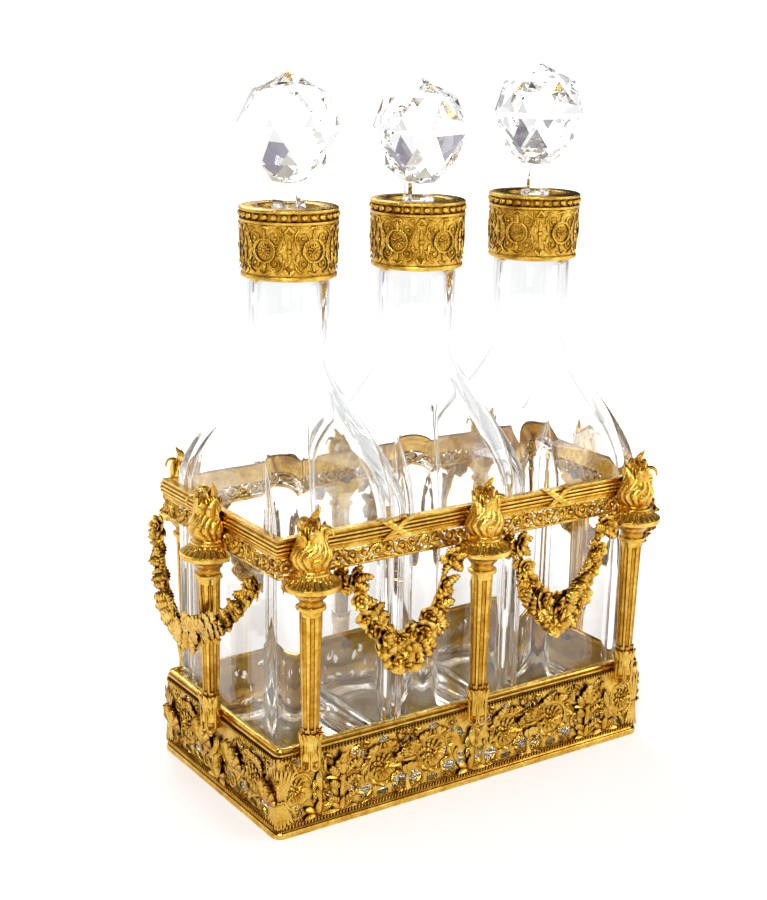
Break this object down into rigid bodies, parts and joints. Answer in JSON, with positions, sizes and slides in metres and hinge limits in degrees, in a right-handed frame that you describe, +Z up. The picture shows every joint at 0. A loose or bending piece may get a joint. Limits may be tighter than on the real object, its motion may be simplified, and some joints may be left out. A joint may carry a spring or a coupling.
{
  "type": "decanter stand",
  "caption": "Gilt bronze decanter stand with torch posts, flower swags and a reeded rail, holding rectangular glass bottles with embossed collars and faceted stoppers.",
  "frame": {"origin": "on the table, under the middle of the stand", "axes": "+Z up, +X along the long side, the front faces -Y"},
  "size_m": [0.2514, 0.146, 0.3372],
  "materials": {
    "gilt_bronze": "cast, chased and gilt, polished on the high spots and dark in the hollows",
    "collar_gilt": "embossed gilt sheet, satin",
    "floor_gilt": "rolled sheet, dull gilt with age",
    "bottle_glass": "clear, polished",
    "stopper_glass": "clear, cut facets",
    "steel_fixings": "plain turned"
  },
  "bodies": {
    "stand": {"floor_plate": "floor_gilt", "plinth": "gilt_bronze", "gallery_front": "gilt_bronze", "gallery_back": "gilt_bronze", "gallery_left": "gilt_bronze", "gallery_right": "gilt_bronze", "gallery_cap": "gilt_bronze", "corner_leaves": "gilt_bronze", "torch_shaft_front_left": "gilt_bronze", "torch_shaft_front_middle": "gilt_bronze", "torch_shaft_front_right": "gilt_bronze", "torch_shaft_back_left": "gilt_bronze", "torch_shaft_back_middle": "gilt_bronze", "torch_shaft_back_right": "gilt_bronze", "torch_shaft_side_left": "gilt_bronze", "torch_shaft_side_right": "gilt_bronze", "torch_cup_front_left": "gilt_bronze", "torch_cup_front_middle": "gilt_bronze", "torch_cup_front_right": "gilt_bronze", "torch_cup_back_left": "gilt_bronze", "torch_cup_back_middle": "gilt_bronze", "torch_cup_back_right": "gilt_bronze", "torch_cup_side_left": "gilt_bronze", "torch_cup_side_right": "gilt_bronze", "torch_flame_front_left": "gilt_bronze", "torch_flame_front_middle": "gilt_bronze", "torch_flame_front_right": "gilt_bronze", "torch_flame_back_left": "gilt_bronze", "torch_flame_back_middle": "gilt_bronze", "torch_flame_back_right": "gilt_bronze", "torch_flame_side_left": "gilt_bronze", "torch_flame_side_right": "gilt_bronze", "torch_rods": "steel_fixings", "gallery_screws": "steel_fixings", "rail_screws": "steel_fixings", "rail_front": "gilt_bronze", "rail_back": "gilt_bronze", "rail_left": "gilt_bronze", "rail_right": "gilt_bronze", "frieze_front": "gilt_bronze", "frieze_back": "gilt_bronze", "frieze_left": "gilt_bronze", "frieze_right": "gilt_bronze", "ribbon_ties": "gilt_bronze", "swag_front_left": "gilt_bronze", "swag_front_right": "gilt_bronze", "swag_back_left": "gilt_bronze", "swag_back_right": "gilt_bronze", "swag_side_left": "gilt_bronze", "swag_side_right": "gilt_bronze"},
    "decanter_left": {"bottle_left": "bottle_glass", "collar_left": "collar_gilt"},
    "stopper_left": {"stopper_left": "stopper_glass"},
    "decanter_middle": {"bottle_middle": "bottle_glass", "collar_middle": "collar_gilt"},
    "stopper_middle": {"stopper_middle": "stopper_glass"},
    "decanter_right": {"bottle_right": "bottle_glass", "collar_right": "collar_gilt"},
    "stopper_right": {"stopper_right": "stopper_glass"}
  },
  "joints": [
    {"name": "decanter_left_lift", "type": "slide", "parent": "stand", "child": "decanter_left", "axis": [0, 0, 1], "range_m": [0, 0.16]},
    {"name": "stopper_left_lift", "type": "slide", "parent": "decanter_left", "child": "stopper_left", "axis": [0, 0, 1], "range_m": [0, 0.05]},
    {"name": "decanter_middle_lift", "type": "slide", "parent": "stand", "child": "decanter_middle", "axis": [0, 0, 1], "range_m": [0, 0.16]},
    {"name": "stopper_middle_lift", "type": "slide", "parent": "decanter_middle", "child": "stopper_middle", "axis": [0, 0, 1], "range_m": [0, 0.05]},
    {"name": "decanter_right_lift", "type": "slide", "parent": "stand", "child": "decanter_right", "axis": [0, 0, 1], "range_m": [0, 0.16]},
    {"name": "stopper_right_lift", "type": "slide", "parent": "decanter_right", "child": "stopper_right", "axis": [0, 0, 1], "range_m": [0, 0.05]}
  ]
}
